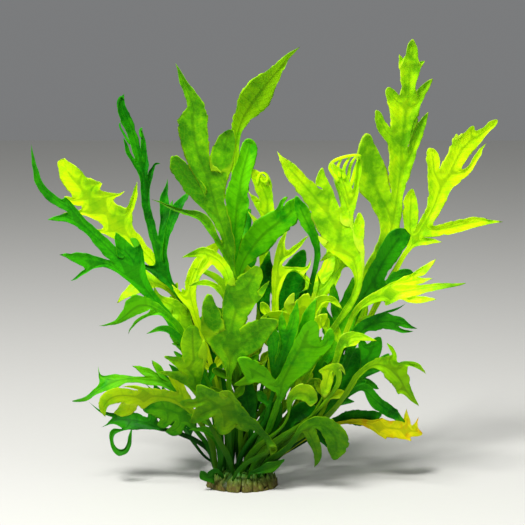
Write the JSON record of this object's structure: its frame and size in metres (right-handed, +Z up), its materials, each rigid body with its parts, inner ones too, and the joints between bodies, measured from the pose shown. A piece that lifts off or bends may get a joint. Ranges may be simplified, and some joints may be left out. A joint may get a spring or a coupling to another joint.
{
  "type": "water sprite",
  "caption": "Aquarium plant: a loose tuft of lobed fern fronds on one short crown, cut off flat underneath so that it stands on a level surface.",
  "frame": {"origin": "on the flat cut under the crown, which is where the ground's surface was", "axes": "+Z up along the plant's growth, the side shown in the picture faces -Y, +X to the right seen from there"},
  "size_m": [0.2372, 0.127, 0.225],
  "materials": {
    "frond_lime": "satin",
    "frond_green": "satin",
    "frond_dark": "satin",
    "frond_olive": "satin",
    "frond_wilted": "matte",
    "rootstock": "matte"
  },
  "bodies": {
    "root": {"crown": "rootstock", "tall_right_frond": "frond_lime", "right_lime_frond": "frond_lime", "right_centre_frond": "frond_lime", "dark_folded_frond": "frond_dark", "right_spray_frond": "frond_lime", "dark_right_frond": "frond_dark", "broad_top_frond": "frond_olive", "folded_top_frond": "frond_olive", "blunt_bright_frond": "frond_green", "lime_ringlet_frond": "frond_lime", "mid_green_frond": "frond_green", "slim_green_frond": "frond_green", "yellow_fingered_frond": "frond_lime", "middle_shaded_frond": "frond_dark", "far_left_frond": "frond_dark", "left_lime_frond": "frond_lime", "tall_left_frond": "frond_dark", "left_arching_frond": "frond_lime", "left_strap_frond": "frond_lime", "left_upright_frond": "frond_lime", "left_forked_frond": "frond_green", "left_curling_frond": "frond_green", "left_upper_frond": "frond_lime", "left_cluster_frond": "frond_lime", "front_middle_frond": "frond_olive", "front_left_frond": "frond_olive", "front_right_frond": "frond_green", "inner_right_frond": "frond_green", "lime_crested_frond": "frond_lime", "lime_forked_frond": "frond_lime", "hanging_trident_frond": "frond_lime", "front_paddle_frond": "frond_lime", "front_dark_frond": "frond_dark", "low_dark_frond": "frond_dark", "middle_dark_frond": "frond_dark", "front_drooping_frond": "frond_olive", "olive_cupped_frond": "frond_olive", "right_arched_frond": "frond_lime", "right_hanging_frond": "frond_olive", "right_drooping_frond": "frond_dark", "wilted_frond": "frond_wilted", "right_oval_frond": "frond_dark", "inner_right_dark_frond": "frond_dark", "right_leafy_frond": "frond_green", "right_shaded_frond": "frond_dark", "left_low_frond": "frond_dark", "left_yellow_frond": "frond_lime", "left_whip_frond": "frond_green", "left_shaded_frond": "frond_green", "left_curved_frond": "frond_green", "ground_left_frond": "frond_green", "ground_right_frond": "frond_green", "back_tall_frond": "frond_green", "back_right_frond": "frond_lime", "back_left_frond": "frond_green", "back_low_right_frond": "frond_dark", "back_low_frond": "frond_olive", "back_base_frond": "frond_green", "back_low_left_frond": "frond_dark"}
  },
  "joints": []
}
